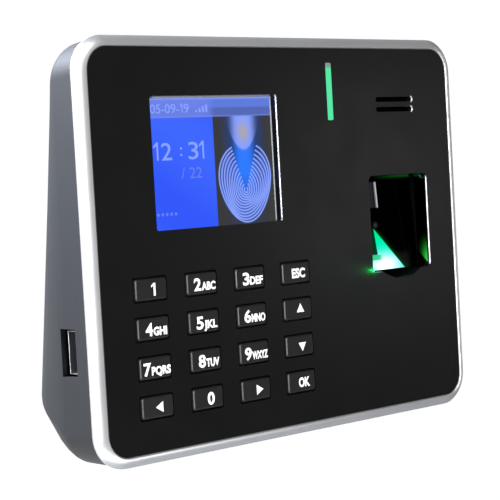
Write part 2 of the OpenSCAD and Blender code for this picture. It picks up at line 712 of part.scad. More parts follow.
module tamper_switch() color([0.1, 0.1, 0.1]) on_face() at(tamper_x - 2, tamper_y) difference() {
    block(11, 6, board_back, board_back - 4);
    translate([2, 0, 0]) rod(tamper_r + fit_gap, 0, -60);
}

// The plunger stops just short of the wall plate.
module tamper_plunger() color([0.85, 0.85, 0.8]) on_face() at(tamper_x, tamper_y)
    rod(tamper_r, board_back - tamper_travel - 0.3,
        -(back_depth(tamper_y) + back_gap / back_normal) + (plate_t + 0.5) / back_normal + tamper_r * slope);

module reset_switch() color([0.15, 0.15, 0.16]) on_face() at(reset_x, reset_y) difference() {
    block(6, 6, board_back, board_back - 2);
    rod(reset_r + fit_gap, 0, -60);
}

module reset_button() color([0.75, 0.3, 0.15]) on_face() at(reset_x, reset_y)
    rod(reset_r, board_back - reset_travel - 0.3, -floor_depth(reset_y) + 0.8);

module rating_label() color([0.8, 0.8, 0.82]) translate([0, -back_gap + 0.15, (pocket_h / 2 + 9)])
    rotate([90, 0, 0]) linear_extrude(0.15) rounded(46, 9, 1);

front_frame();
front_panel();
rear_shell();
wall_plate();
lock_screw();
case_screws();
board_screws();
keypad_screws();
lcd_glass();
lcd_frame();
backlight();
lcd_ribbon();
light_bar();
status_leds();
led_board();
speaker_body();
speaker_cone();
speaker_cloth();
sensor_well();
prism();
sensor_leds();
sensor_board();
camera_lens();
camera_board();
sensor_ribbon();
keypad_mat();
keypad_board();
main_board();
processor();
memory_chips();
usb_shell();
usb_tongue();
network_jack();
power_jack();
wire_terminal();
door_relay();
clock_battery();
capacitors();
tamper_switch();
tamper_plunger();
reset_switch();
reset_button();
rating_label();
key("key_1");  // key_1
key("key_2");  // key_2
key("key_3");  // key_3
key("key_escape");  // key_escape
key("key_4");  // key_4
key("key_5");  // key_5
key("key_6");  // key_6
key("key_up");  // key_up
key("key_7");  // key_7
key("key_8");  // key_8
key("key_9");  // key_9
key("key_down");  // key_down
key("key_left");  // key_left
key("key_0");  // key_0
key("key_right");  // key_right
key("key_confirm");  // key_confirm
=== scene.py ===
import json
import math
import bmesh
import bpy
import numpy as np
from mathutils import Matrix, Vector

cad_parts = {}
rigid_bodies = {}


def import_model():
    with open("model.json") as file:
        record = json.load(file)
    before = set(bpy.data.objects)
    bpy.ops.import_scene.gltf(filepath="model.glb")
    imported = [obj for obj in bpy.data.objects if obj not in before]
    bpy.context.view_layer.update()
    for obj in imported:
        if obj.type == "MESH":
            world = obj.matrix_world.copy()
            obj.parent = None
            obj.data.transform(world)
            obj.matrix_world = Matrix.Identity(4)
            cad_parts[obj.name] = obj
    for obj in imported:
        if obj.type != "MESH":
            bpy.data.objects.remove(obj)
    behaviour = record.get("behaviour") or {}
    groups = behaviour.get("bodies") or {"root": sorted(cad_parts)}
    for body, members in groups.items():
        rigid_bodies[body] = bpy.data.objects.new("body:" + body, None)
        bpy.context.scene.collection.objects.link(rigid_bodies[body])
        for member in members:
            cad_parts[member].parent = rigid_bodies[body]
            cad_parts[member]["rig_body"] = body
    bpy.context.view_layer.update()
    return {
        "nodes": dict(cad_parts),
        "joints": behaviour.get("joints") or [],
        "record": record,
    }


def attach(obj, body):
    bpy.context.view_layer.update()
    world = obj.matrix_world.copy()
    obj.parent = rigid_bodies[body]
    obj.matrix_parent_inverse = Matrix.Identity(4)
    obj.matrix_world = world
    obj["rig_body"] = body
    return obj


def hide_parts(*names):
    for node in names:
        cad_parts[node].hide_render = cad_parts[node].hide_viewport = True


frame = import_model()
mm = 0.001
scene = bpy.context.scene

# The face's own axes: x to the right, y up the face, z out of it; z = 0 is the black panel.
pressAxis = next(j["axis"] for j in frame["joints"] if j["name"] == "key_1_press")
faceNormal = -Vector(pressAxis).normalized()
faceRight = Vector((1, 0, 0))
faceUp = faceNormal.cross(faceRight)
faceTurn = np.array(Matrix((faceRight, faceUp, faceNormal)).transposed())


def corners(name):
    co = np.empty(len(frame["nodes"][name].data.vertices) * 3)
    frame["nodes"][name].data.vertices.foreach_get("co", co)
    return co.reshape(-1, 3)


panelSpread = corners("front_panel") @ faceTurn
faceSpot = faceTurn @ np.array([(panelSpread[:, 0].max() + panelSpread[:, 0].min()) / 2,
                                (panelSpread[:, 1].max() + panelSpread[:, 1].min()) / 2,
                                panelSpread[:, 2].max()])


def toRow(points):
    # Points in the face's axes, mm, turned to the row's axes, metres.
    return np.asarray(points, float) * mm @ faceTurn.T + faceSpot


def faceBox(name):
    # A CAD node's lowest and highest corner in the face's axes, mm.
    local = (corners(name) - faceSpot) @ faceTurn / mm
    return local.min(0), local.max(0)


camera = {
    "spot": (-413.3, 23.7, 422.9),  # in the face's axes, mm
    "aim": (-20.5, -3.2, 0.0),
    "roll": 2.97,  # degrees
    "lens": 122.4,
    "sensor": 36,
}


def makeCamera(c):
    data = bpy.data.cameras.new("camera")
    data.lens, data.sensor_width = c["lens"], c["sensor"]
    data.clip_start, data.clip_end = 0.01, 50
    spot, aim = (Vector(p) for p in toRow([c["spot"], c["aim"]]))
    turn = (aim - spot).to_track_quat("-Z", "Y").to_matrix() @ Matrix.Rotation(math.radians(c["roll"]), 3, "Z")
    obj = bpy.data.objects.new("camera", data)
    obj.matrix_world = Matrix.Translation(spot) @ turn.to_4x4()
    scene.collection.objects.link(obj)
    scene.camera = obj


makeCamera(camera)
print("camera placed")


def rgb(code):
    # sRGB hex to linear.
    c = np.array([int(code[i : i + 2], 16) for i in (1, 3, 5)]) / 255
    linear = np.where(c <= 0.04045, c / 12.92, ((c + 0.055) / 1.055) ** 2.4)
    return (*linear.tolist(), 1.0)


def addNode(tree, kind, links=None, **settings):
    # One node with its settings and the outputs that feed it.
    made = tree.nodes.new(kind)
    for key, value in settings.items():
        if hasattr(made, key):
            setattr(made, key, value)
        else:
            made.inputs[key.replace("_", " ")].default_value = value
    for key, source in (links or {}).items():
        tree.links.new(source, made.inputs[key])
    return made


def finish(name, colour, rough, spread=0.0, grit=0.0, depth=0.0, shift=0.0, **sockets):
    # A Principled finish: roughness varies by spread and brightness by shift over grit mm, with bumps depth mm high.
    mat = bpy.data.materials.new(name)
    mat.use_nodes = True
    tree = mat.node_tree
    shader = tree.nodes["Principled BSDF"]
    shader.inputs["Base Color"].default_value = rgb(colour)
    shader.inputs["Roughness"].default_value = rough
    for key, value in sockets.items():
        shader.inputs[key.replace("_", " ")].default_value = value
    if grit:
        place = addNode(tree, "ShaderNodeTexCoord")
        fine = addNode(tree, "ShaderNodeTexNoise", {"Vector": place.outputs["Object"]},
                       Scale=1 / (grit * mm), Detail=3.0, Roughness=0.6)
        broad = addNode(tree, "ShaderNodeTexNoise", {"Vector": place.outputs["Object"]},
                        Scale=1 / (18 * mm), Detail=2.0)
        if spread:
            vary = addNode(tree, "ShaderNodeMapRange", {"Value": broad.outputs["Fac"]})
            vary.inputs["From Min"].default_value, vary.inputs["From Max"].default_value = 0.3, 0.7
            vary.inputs["To Min"].default_value, vary.inputs["To Max"].default_value = rough - spread, rough + spread
            tree.links.new(vary.outputs[0], shader.inputs["Roughness"])
        if shift:
            tint = addNode(tree, "ShaderNodeHueSaturation", Color=rgb(colour))
            level = addNode(tree, "ShaderNodeMapRange", {"Value": fine.outputs["Fac"]})
            level.inputs["From Min"].default_value, level.inputs["From Max"].default_value = 0.3, 0.7
            level.inputs["To Min"].default_value, level.inputs["To Max"].default_value = 1 - shift, 1 + shift
            tree.links.new(level.outputs[0], tint.inputs["Value"])
            tree.links.new(tint.outputs[0], shader.inputs["Base Color"])
        if depth:
            bump = addNode(tree, "ShaderNodeBump", {"Height": fine.outputs["Fac"]}, Distance=depth * mm)
            tree.links.new(bump.outputs[0], shader.inputs["Normal"])
    return mat


def glow(name, strength=1.0, colour=None, base="#020203", rough=0.25, shine=0.15):
    # Light from the piece itself, in one colour or in its colour attribute, over a dark gloss.
    mat = finish(name, base, rough)
    tree = mat.node_tree
    shader = tree.nodes["Principled BSDF"]
    shader.inputs["Emission Strength"].default_value = strength
    shader.inputs["Specular IOR Level"].default_value = shine
    if colour:
        shader.inputs["Emission Color"].default_value = rgb(colour)
    else:
        paint = addNode(tree, "ShaderNodeAttribute", attribute_name="light")
        tree.links.new(paint.outputs["Color"], shader.inputs["Emission Color"])
    return mat


finishes = {
    # ABS off a polished mould: black, a soft broad sheen, very slight waviness
    "panel": finish("moulded ABS, black satin", "#0b0b0c", 0.32, spread=0.03, grit=0.6, depth=0.0012, shift=0.06,
                    Specular_IOR_Level=0.3),
    # metallic lacquer on ABS: fine aluminium flakes under clear coat
    "silver": finish("silver lacquer on ABS", "#cfd0d2", 0.34, spread=0.03, grit=0.25, depth=0.0015, shift=0.03,
                     Metallic=0.75, Coat_Weight=0.25, Coat_Roughness=0.2),
    # ABS off a spark-eroded mould: dark grey with a fine even grit
    "shell": finish("spark-eroded ABS, dark grey", "#323539", 0.5, spread=0.04, grit=0.45, depth=0.018, shift=0.08),
    "rubber": finish("moulded silicone rubber, black", "#111112", 0.46, spread=0.04, grit=0.3, depth=0.003, shift=0.08),
    "mat": finish("moulded silicone rubber, dark", "#0a0a0b", 0.6, spread=0.05, grit=0.3, depth=0.003, shift=0.08),
    "print": finish("white pad printing ink", "#f1f1f3", 0.5, grit=0.2, depth=0.002, shift=0.02),
    "steel": finish("zinc-plated sheet steel", "#b7babd", 0.33,
                     spread=0.07, grit=0.8, depth=0.004, shift=0.05, Metallic=1.0),
    "nickel": finish("nickel-plated brass", "#c9c4b8", 0.25, spread=0.05, grit=0.5, depth=0.001, Metallic=1.0),
    "gold": finish("gold-plated contact", "#d9b25c", 0.25, spread=0.04, grit=0.4, depth=0.001, Metallic=1.0),
    "blackScrew": finish("black oxide steel", "#1a1a1c", 0.38, spread=0.05, grit=0.4, depth=0.002, Metallic=0.9),
    "nylon": finish("moulded nylon, black", "#0c0c0d", 0.48, spread=0.05, grit=0.35, depth=0.004, shift=0.08),
    # black plastic of the sensor well, made darker and duller than the other black plastics as painted shade in the
    # recess
    "well": finish("moulded ABS, deep black", "#020202", 0.6,
                    spread=0.04, grit=0.4, depth=0.002, Specular_IOR_Level=0.06),
    "prismGlass": finish("polished glass, dark behind", "#010101", 0.08, spread=0.01, grit=0.5, depth=0.0002,
                         Specular_IOR_Level=0.06),
    "displayGlass": finish("display glass, black border", "#060607", 0.1, spread=0.02, grit=0.5, depth=0.0002,
                           Specular_IOR_Level=0.3),
    "diffuser": finish("opal polycarbonate sheet", "#eceff2", 0.6, grit=0.4, depth=0.003, shift=0.02),
    "polyimide": finish("polyimide flat cable, amber", "#a8681f", 0.35, spread=0.05, grit=0.6, depth=0.002, shift=0.1),
    "solderMask": finish("solder mask, green", "#0f4a2c", 0.33, spread=0.05, grit=1.2, depth=0.008, shift=0.2),
    "resin": finish("epoxy over diodes", "#d8d6a8", 0.3, grit=0.3, depth=0.002, shift=0.03),
    "paper": finish("pressed paper cone", "#4a463f", 0.75, grit=0.25, depth=0.02, shift=0.15),
    "cloth": finish("dust cloth, black", "#070707", 0.85, grit=0.2, depth=0.03, shift=0.3, Specular_IOR_Level=0.2),
    "whiteNylon": finish("moulded nylon, white", "#e3e2dc", 0.42, spread=0.04, grit=0.3, depth=0.003, shift=0.02),
    "greenNylon": finish("moulded nylon, green", "#1f7a45", 0.42, spread=0.04, grit=0.3, depth=0.004, shift=0.05),
    "blueCase": finish("moulded polyester, blue", "#1c3f94", 0.4, spread=0.04, grit=0.3, depth=0.003, shift=0.05),
    "sleeve": finish("shrink sleeve, dark blue", "#1c2440", 0.4, spread=0.04, grit=0.5, depth=0.002, shift=0.05),
    "orange": finish("moulded acetal, orange", "#c2521d", 0.42, spread=0.04, grit=0.3, depth=0.003, shift=0.03),
    "foil": finish("silver polyester label", "#b5b8bb", 0.4,
                    spread=0.05, grit=0.3, depth=0.001, shift=0.02, Metallic=0.6),
}
slotFinish = {
    "silver_paint": "silver", "panel_black": "panel", "shell_grey": "shell", "zinc_steel": "steel",
    "black_screw": "blackScrew", "display": "displayGlass", "diffuser": "diffuser", "flex": "polyimide",
    "led_resin": "resin", "board_green": "solderMask", "moulded_black": "nylon", "cone_paper": "paper",
    "cloth_black": "cloth", "sensor_glass": "prismGlass", "mat_rubber": "mat", "key_rubber": "rubber",
    "white_plastic": "whiteNylon", "terminal_green": "greenNylon", "relay_blue": "blueCase",
    "can_blue": "sleeve", "reset_orange": "orange", "label_silver": "foil",
}


def barFinish():
    # Opal light guide: mint green where the diodes light it; its top two millimetres fade to grey, a painted
    # reflection.
    mat = finish("opal acrylic light guide", "#3f8f68", 0.3, grit=0.4, depth=0.001)
    tree = mat.node_tree
    low, high = faceBox("light_bar")
    top = high[1] - 1.05
    place = addNode(tree, "ShaderNodeTexCoord")
    along = addNode(tree, "ShaderNodeVectorMath", {0: place.outputs["Object"]}, operation="DOT_PRODUCT")
    along.inputs[1].default_value = faceUp / mm
    offset = float(np.dot(faceSpot, np.array(faceUp))) / mm
    fade = addNode(tree, "ShaderNodeMapRange", {"Value": along.outputs["Value"]}, interpolation_type="SMOOTHSTEP")
    fade.inputs["From Min"].default_value = offset + top - 2.4
    fade.inputs["From Max"].default_value = offset + top - 1.0
    ramp = addNode(tree, "ShaderNodeMix", {"Factor": fade.outputs[0]}, data_type="RGBA")
    ramp.inputs[6].default_value = rgb("#58eca6")
    # the grey at the top is painted reflection
    ramp.inputs[7].default_value = rgb("#7e9c93")
    tree.links.new(ramp.outputs[2], tree.nodes["Principled BSDF"].inputs["Emission Color"])
    tree.nodes["Principled BSDF"].inputs["Emission Strength"].default_value = 0.95
    return mat


finishes["bar"] = barFinish()
slotFinish["light_green"] = "bar"
slotOf = {s["node"]: s["material_slot"] for s in frame["record"]["subparts"]}
for name, obj in frame["nodes"].items():
    obj.data.materials.clear()
    obj.data.materials.append(finishes[slotFinish[slotOf[name]]])
# the sensor well's own black is swapped for a darker, duller one: painted shade in the recess
frame["nodes"]["sensor_well"].data.materials[0] = finishes["well"]
print("finishes made")


def link(name, data, mat, body="terminal", smooth=True):
    # Puts a finished mesh into the scene: merged, facing outwards, riding on a body.
    shape = bmesh.new()
    shape.from_mesh(data)
    bmesh.ops.remove_doubles(shape, verts=shape.verts, dist=1e-6)
    bmesh.ops.recalc_face_normals(shape, faces=shape.faces)
    shape.to_mesh(data)
    shape.free()
    data.materials.clear()
    data.materials.append(finishes[mat] if isinstance(mat, str) else mat)
    if smooth:
        data.shade_smooth()
        data.set_sharp_from_angle(angle=math.radians(35))
    obj = bpy.data.objects.new(name, data)
    scene.collection.objects.link(obj)
    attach(obj, body)
    return obj


def gridFaces(rows, columns, wrap=False):
    # Quads over a grid of points; wrap joins the last column to the first.
    r = np.arange(rows - 1)[:, None]
    c = np.arange(columns if wrap else columns - 1)[None, :]
    n = (c + 1) % columns
    return np.stack([r * columns + c, r * columns + n, (r + 1) * columns + n, (r + 1) * columns + c], -1).reshape(-1, 4)


def loft(rings):
    # Closed skin over rings of points, with flat caps. rings is (rings, points, 3), face axes, mm.
    rings = np.asarray(rings, float)
    count, around = rings.shape[:2]
    faces = gridFaces(count, around, wrap=True).tolist()
    faces += [list(range(around))[::-1], list(range((count - 1) * around, count * around))]
    return rings.reshape(-1, 3), faces


def meshOf(name, parts, placed=False):
    # One mesh from several (points, faces) pairs.
    data = bpy.data.meshes.new(name)
    points, faces, start = [], [], 0
    for co, quads in parts:
        points.append(np.asarray(co, float))
        faces += [[i + start for i in q] for q in quads]
        start += len(co)
    points = np.concatenate(points)
    data.from_pydata((points if placed else toRow(points)).tolist(), [], faces)
    return data


def roundedRing(w, h, r, steps=6):
    # Outline of a rounded rectangle, anticlockwise: four corner centres plus r times (cos a, sin a).
    a = (np.arange(4)[:, None] * 90 + np.linspace(0, 90, steps)[None, :]) * math.pi / 180
    sx, sy = np.array([1, -1, -1, 1])[:, None], np.array([1, 1, -1, -1])[:, None]
    return np.stack([sx * (w / 2 - r) + r * np.cos(a), sy * (h / 2 - r) + r * np.sin(a)], -1).reshape(-1, 2)


def pad(w, h, r, centre, low, high, edge=0.1, steps=6):
    # A plate from low to high with its front edge rounded: the ring shrinks by edge (1 - cos a) as it rises edge sin a.
    a = np.radians(np.linspace(0, 90, 5))
    shrink = np.concatenate([[0], edge * (1 - np.cos(a))])
    z = np.concatenate([[low], high - edge + edge * np.sin(a)])
    rings = []
    for s, level in zip(shrink, z):
        ring = roundedRing(w - 2 * s, h - 2 * s, max(r - s, 0.01), steps)
        rings.append(np.column_stack([ring + np.array(centre), np.full(len(ring), level)]))
    return loft(rings)


def turned(profile, centre, steps=32):
    # A turned piece about the face's normal: each (radius, height) of the profile goes round as a circle.
    a = np.linspace(0, 2 * math.pi, steps, endpoint=False)
    return loft([np.column_stack([centre[0] + r * np.cos(a), centre[1] + r * np.sin(a), np.full(steps, z)])
                 for r, z in profile])


def addBevel(obj, width, segments, weights=None, angle=0.0):
    # Rounds edges by width mm: those sharper than angle, or those with a weight.
    b = obj.modifiers.new("edges", "BEVEL")
    b.width = width * mm
    b.segments = segments
    b.harden_normals = True
    b.use_clamp_overlap = False
    if weights is None:
        b.limit_method = "ANGLE"
        b.angle_limit = math.radians(angle)
    else:
        attribute = obj.data.attributes.new(b.name, "FLOAT", "EDGE")
        attribute.data.foreach_set("value", weights.astype(np.float32))
        b.limit_method = "WEIGHT"
        b.edge_weight = b.name
    return b


def refined(name, mat, bevel=0.0, angle=32.0, segments=3, rounding=()):
    # A merged, smooth copy of a CAD node that stands for it. Its edges are rounded by bevel mm, or each
    # (test, width mm, segments, finish) of rounding rounds the sharp edges whose middles pass its test.
    source = frame["nodes"][name]
    data = source.data.copy()
    data.name = name + "_shown"
    shape = bmesh.new()
    shape.from_mesh(data)
    bmesh.ops.remove_doubles(shape, verts=shape.verts, dist=2e-6)
    bmesh.ops.dissolve_limit(shape, angle_limit=math.radians(0.6), verts=shape.verts, edges=shape.edges)
    shape.to_mesh(data)
    shape.free()
    data.materials.clear()
    data.materials.append(finishes[mat])
    data.shade_smooth()
    data.set_sharp_from_angle(angle=math.radians(angle))
    obj = bpy.data.objects.new(name + "_shown", data)
    scene.collection.objects.link(obj)
    ends = np.empty(len(data.edges) * 2, int)
    data.edges.foreach_get("vertices", ends)
    co = np.empty(len(data.vertices) * 3)
    data.vertices.foreach_get("co", co)
    middles = ((co.reshape(-1, 3) - faceSpot) @ faceTurn / mm)[ends].reshape(-1, 2, 3).mean(1)
    sharp = np.zeros(len(data.edges), bool)
    if rounding:
        data.attributes["sharp_edge"].data.foreach_get("value", sharp)
    for test, width, steps, edgeMat in rounding:
        b = addBevel(obj, width, steps, test(middles) * sharp)
        if edgeMat:
            data.materials.append(finishes[edgeMat])
            b.material = len(data.materials) - 1
    if bevel:
        addBevel(obj, bevel, segments, angle=angle)
    even = obj.modifiers.new("even normals", "WEIGHTED_NORMAL")
    even.keep_sharp = True
    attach(obj, source["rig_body"])
    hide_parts(name)
    return obj


windowLow, windowHigh = np.array([-60.95, 5.8]), np.array([-4.55, 49.5])
fingerLow, fingerHigh = np.array([40.2, -19.0]), np.array([71.7, 19.3])
slotSpan = {"right": 65.0, "low": 40.0, "high": 51.0}


def paintedHighlightEdges(middle):
    # the right-hand front edges of the window, of the finger opening and of the sound slots, which get a pale metallic
    # finish as a painted highlight
    u, v, n = middle.T
    window = (np.abs(u - windowHigh[0]) < 0.35) & (v > windowLow[1]) & (v < windowHigh[1])
    finger = (np.abs(u - fingerHigh[0]) < 0.35) & (v > -16.2) & (v < fingerHigh[1])
    slots = (u > slotSpan["right"]) & (u < 66.5) & (v > slotSpan["low"]) & (v < slotSpan["high"])
    return (n > -0.1) & (window | finger | slots)


# a pale grey metallic finish on the black panel's right-hand edges: painted highlight where the key lamp glints
finishes["edge"] = finish("polished moulded edge", "#c9ccd0", 0.3, Metallic=0.8)
refined("front_frame", "silver", 0.0)
refined("front_panel", "panel", rounding=((paintedHighlightEdges, 0.45, 4, "edge"),))
refined("rear_shell", "shell", 0.0, angle=28)
for name in frame["nodes"]:
    if name.startswith("key_"):
        refined(name, "rubber", 0.18)
refined("light_bar", "bar", 0.12)
refined("wall_plate", "steel", 0.2)
refined("usb_shell", "steel", 0.12)
refined("usb_tongue", "nylon", 0.15)
refined("network_jack", "steel", 0.2)
refined("power_jack", "nylon", 0.2)
refined("wire_terminal", "greenNylon", 0.2)
print("case dressed")


def lettering(body, height, x, y, z, bold=0.0, thick=0.02, align="CENTER", squeeze=1.0):
    # Characters as closed flat solids. Their capitals are height mm tall and their baseline is at y.
    curve = bpy.data.curves.new("letters", "FONT")
    curve.body = body
    curve.align_x = align
    curve.size = 1.0
    curve.offset = bold
    curve.extrude = 0.05
    curve.resolution_u = 4
    text = bpy.data.objects.new("letters", curve)
    scene.collection.objects.link(text)
    bpy.context.view_layer.update()
    sheet = bpy.data.meshes.new_from_object(text.evaluated_get(bpy.context.evaluated_depsgraph_get()))
    co = np.empty(len(sheet.vertices) * 3)
    sheet.vertices.foreach_get("co", co)
    co = co.reshape(-1, 3)
    faces = [list(p.vertices) for p in sheet.polygons]
    bpy.data.objects.remove(text)
    bpy.data.meshes.remove(sheet)
    scale = height / capHeight
    local = np.column_stack([x + co[:, 0] * scale * squeeze, y + co[:, 1] * scale,
                             z + (co[:, 2] / 0.05 * 0.5 + 0.5) * thick])
    return local, faces


capHeight = 0.729  # capital height of the built-in face at size 1
# the outline of a 1, times the height
oneShape = np.array([(0.0, 0), (0.16, 0), (0.16, 1), (0.02, 1), (-0.22, 0.8), (-0.22, 0.66), (0.0, 0.8)])


def one(height, x, y, z, stem=0.16, thick=0.02):
    # The figure 1 with its flag, x at its left edge; stem is the stroke as a share of the height.
    shape = oneShape.copy()
    shape[1:3, 0] = stem
    shape[:, 0] += 0.22
    ring = shape * height + np.array([x, y])
    return loft([np.column_stack([ring, np.full(len(ring), level)]) for level in (z, z + thick)])

legend = {
    # mm: height and width of a digit, heights, reach
    "digit": (4.15, 3.1), "letters": 2.65, "word": 3.2, "arrow": 2.05,
    "bold": 0.042,  # outline growth, as a share of the type size
    "right": 1.05, "down": 0.1,  # from the key's middle
    "gap": 0.2,  # between a digit and its letters
    "edge": 1.65,  # from the key's flange to the end of its flat top
}
legends = {  # digit, letters or word, and their width in mm
    "key_1": ("1", "", 0), "key_2": ("2", "ABC", 6.1), "key_3": ("3", "DEF", 6.0), "key_4": ("4", "GHI", 5.7),
    "key_5": ("5", "JKL", 5.8), "key_6": ("6", "MNO", 6.4), "key_7": ("7", "PQRS", 8.0), "key_8": ("8", "TUV", 5.8),
    "key_9": ("9", "WXYZ", 7.3), "key_0": ("0", "", 0), "key_escape": ("", "ESC", 6.4), "key_confirm": ("", "OK", 5.4),
}
arrows = {"key_up": 90, "key_down": -90, "key_left": 180, "key_right": 0}


def fitted(part, left, width):
    # The same letters, moved and stretched sideways to reach from left to left + width.
    co, faces = part
    low = co[:, 0].min()
    co[:, 0] = left + (co[:, 0] - low) * width / np.ptp(co[:, 0])
    return co, faces


for name, (digit, letters, width) in legends.items():
    low, high = faceBox(name)
    mid, top = (low + high) / 2, high[2] - 0.005
    tall, wide = legend["digit"] if digit else (legend["word"], 0)
    base = mid[1] - legend["down"] - tall / 2
    span = wide + width + (legend["gap"] if digit and letters else 0)
    start = min(mid[0] + legend["right"] - span / 2, high[0] - legend["edge"] - span)
    parts = []
    if digit == "1":
        parts.append(one(tall, start + 0.45, base, top, 0.2))
    elif digit:
        parts.append(fitted(lettering(digit, tall, 0, base, top, legend["bold"] * 0.7), start, wide))
    if letters:
        size = legend["letters"] if digit else tall
        parts.append(fitted(lettering(letters, size, 0, base, top, legend["bold"]), start + span - width, width))
    link(name + "_legend", meshOf(name + "_legend", parts), "print",
         frame["nodes"][name]["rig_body"], smooth=False)

for name, turn in arrows.items():
    low, high = faceBox(name)
    mid = (low + high) / 2
    a = math.radians(turn) + np.radians(np.array([0, 120, 240]))
    tips = np.column_stack([np.cos(a), np.sin(a)]) * legend["arrow"]
    tips = tips + np.array([mid[0] + legend["right"], mid[1] - legend["down"]])
    rings = [np.column_stack([tips, np.full(3, z)]) for z in (high[2] - 0.005, high[2] + 0.015)]
    link(name + "_legend", meshOf(name + "_legend", [loft(rings)]), "print",
         frame["nodes"][name]["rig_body"], smooth=False)
print("keys lettered")


def paintedSheet(name, spot, size, step, colourOf, mat, thick=0.04):
    # A thin sheet over a grid of (a, b) parameters: spot(a, b) gives its place, colourOf(a, b) its linear light.
    a = np.linspace(size[0], size[1], int((size[1] - size[0]) / step) + 2)
    b = np.linspace(size[2], size[3], int((size[3] - size[2]) / step) + 2)
    ga, gb = (g.ravel() for g in np.meshgrid(a, b))
    data = bpy.data.meshes.new(name)
    data.from_pydata(toRow(spot(ga, gb)).tolist(), [], gridFaces(len(b), len(a)).tolist())
    light = np.column_stack([np.clip(colourOf(ga, gb), 0, None), np.ones(len(ga))])
    painted = data.color_attributes.new("light", "FLOAT_COLOR", "POINT")
    painted.data.foreach_set("color", light.astype(np.float32).ravel())
    data.materials.append(mat)
    data.shade_smooth()
    obj = bpy.data.objects.new(name, data)
    scene.collection.objects.link(obj)
    wall = obj.modifiers.new("thickness", "SOLIDIFY")
    wall.thickness = thick * mm
    wall.offset = -1
    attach(obj, "terminal")
    return obj


def tone(code):
    return np.array(rgb(code)[:3])


def blend(a, b, t):
    return a + (b - a) * t[:, None]


def smoothStep(x, low, high):
    t = np.clip((x - low) / (high - low), 0, 1)
    return t * t * (3 - 2 * t)


display = {
    "left": -61.7, "right": -4.75, "low": 5.6, "high": 48.9, "front": -3.0,  # the lit area, mm
    "header": 42.5, "split": -31.6,  # where the header ends and where the picture starts
    "field": "#3f68ff", "fieldEdge": "#3358fb", "header1": "#5f7bdc", "header2": "#5569b6", "line": "#86a0fb",
    "picture": "#3a3a3a", "beam": "#2f7bff", "beamSide": "#27427e", "pale": "#8ea4ff",
}
ridges = {
    "centre": (-18.0, 20.4), "half": (12.0, 13.6),  # the figure's half sizes, mm
    "pitch": 0.95, "width": 0.58, "open": 0.5, "sway": 0.8,
}
screenLight = glow("backlit liquid crystal")
lineLight = glow("backlit liquid crystal, line", 1.05, display["line"])
dimLineLight = glow("backlit liquid crystal, dim line", 0.85, "#6f8cf8")


def levelPlane(level):
    return lambda a, b: np.column_stack([a, b, np.full(len(a), level)])


def headerLight(a, b):
    d = display
    c = blend(np.tile(tone(d["header2"]), (len(a), 1)), tone(d["header1"]), smoothStep(b, 45.4, 45.7))
    left = 1 - smoothStep(a, -34, -30)
    c = blend(c, np.tile(tone("#6f84ee"), (len(a), 1)), left * 0.8)
    edges = smoothStep(b, 48.2, 48.5) + (1 - smoothStep(b, 42.7, 43.0)) * 0.5
    return blend(c, np.tile(tone("#8698f4"), (len(a), 1)), edges)


def fieldLight(a, b):
    d = display
    t = 0.5 + 0.5 * np.sin((a + 61) * 0.07 + (b - 5) * 0.11)
    return blend(np.tile(tone(d["field"]), (len(a), 1)), tone(d["fieldEdge"]), t)


def pictureLight(a, b):
    # A dark ground, a blue beam that falls from above into a rounded figure, and a pale warm lamp at its top.
    d = display
    mid = -18.0
    ground = np.tile(tone(d["picture"]), (len(a), 1))
    side = np.exp(-(((a - mid) / 8.4) ** 4))
    core = np.exp(-(((a - mid) / (4.6 - 0.03 * (b - 20))) ** 4))
    fade = smoothStep(b, 12, 24)
    c = blend(ground, tone(d["beamSide"]), side * (0.25 + 0.75 * fade))
    (cx, cy), (hx, hy) = ridges["centre"], ridges["half"]
    across, up = (a - cx) / hx, (b - cy) / hy
    inside = 1 - smoothStep(across ** 2 + up ** 2, 0.9, 1.02)
    cup = inside * (1 - smoothStep(up - 1.2 * np.abs(across), -0.25, 0.1))
    c = blend(c, tone("#4b62ba"), cup * 0.8)
    c = blend(c, tone(d["beam"]), core * fade)
    lamp = np.exp(-(((a - mid) / 5.2) ** 4)) * smoothStep(b - 0.16 * (a - mid) ** 2, 30.5, 31.6)
    warm = np.exp(-(((a - mid) / 2.6) ** 2) - ((b - 37) / 3.2) ** 2)
    return blend(blend(c, tone(d["pale"]), lamp * 0.9), tone("#b9a878"), warm * 0.75)


def screenColour(a, b):
    # The header over the field on the left and the picture on the right.
    d = display
    c = blend(pictureLight(a, b), fieldLight(a, b), 1 - smoothStep(a, d["split"] - 0.15, d["split"] + 0.15))
    return blend(c, headerLight(a, b), smoothStep(b, d["header"] - 0.15, d["header"] + 0.15))


d = display
paintedSheet("screen_light", levelPlane(d["front"] + 0.06), (d["left"], d["right"], d["low"], d["high"]), 0.3,
             screenColour, screenLight)
screenTop = d["front"] + 0.065
link("screen_time", meshOf("screen_time", [
    one(6.0, -58.1, 28.6, screenTop, 0.12),
    fitted(lettering("2", 6.0, 0, 28.6, screenTop, 0.004), -54.8, 4.5),
    fitted(lettering(":", 4.6, 0, 29.8, screenTop), -46.7, 0.9),
    fitted(lettering("3", 6.0, 0, 28.6, screenTop, 0.004), -43.1, 4.4),
    one(6.0, -38.2, 28.6, screenTop, 0.12)]), lineLight, smooth=False)
link("screen_day", meshOf("screen_day", [
    fitted(lettering("/", 3.8, 0, 22.3, screenTop), -46.6, 1.5),
    fitted(lettering("22", 3.8, 0, 22.3, screenTop), -43.0, 5.4)]), dimLineLight, smooth=False)
link("screen_date", meshOf("screen_date", [
    fitted(lettering("05-09-", 3.1, 0, 44.0, screenTop, 0.006), -58.6, 12.5),
    one(3.1, -45.7, 44.0, screenTop, 0.14),
    fitted(lettering("9", 3.1, 0, 44.0, screenTop, 0.006), -44.1, 2.3)]), lineLight, smooth=False)
link("screen_signal", meshOf("screen_signal", [
    pad(0.9, 0.7 + 0.6 * i, 0.1, (-38.6 + 1.5 * i, 44.45 + 0.3 * i), screenTop, screenTop + 0.02, 0.01, 3)
    for i in range(4)]),
    lineLight, smooth=False)
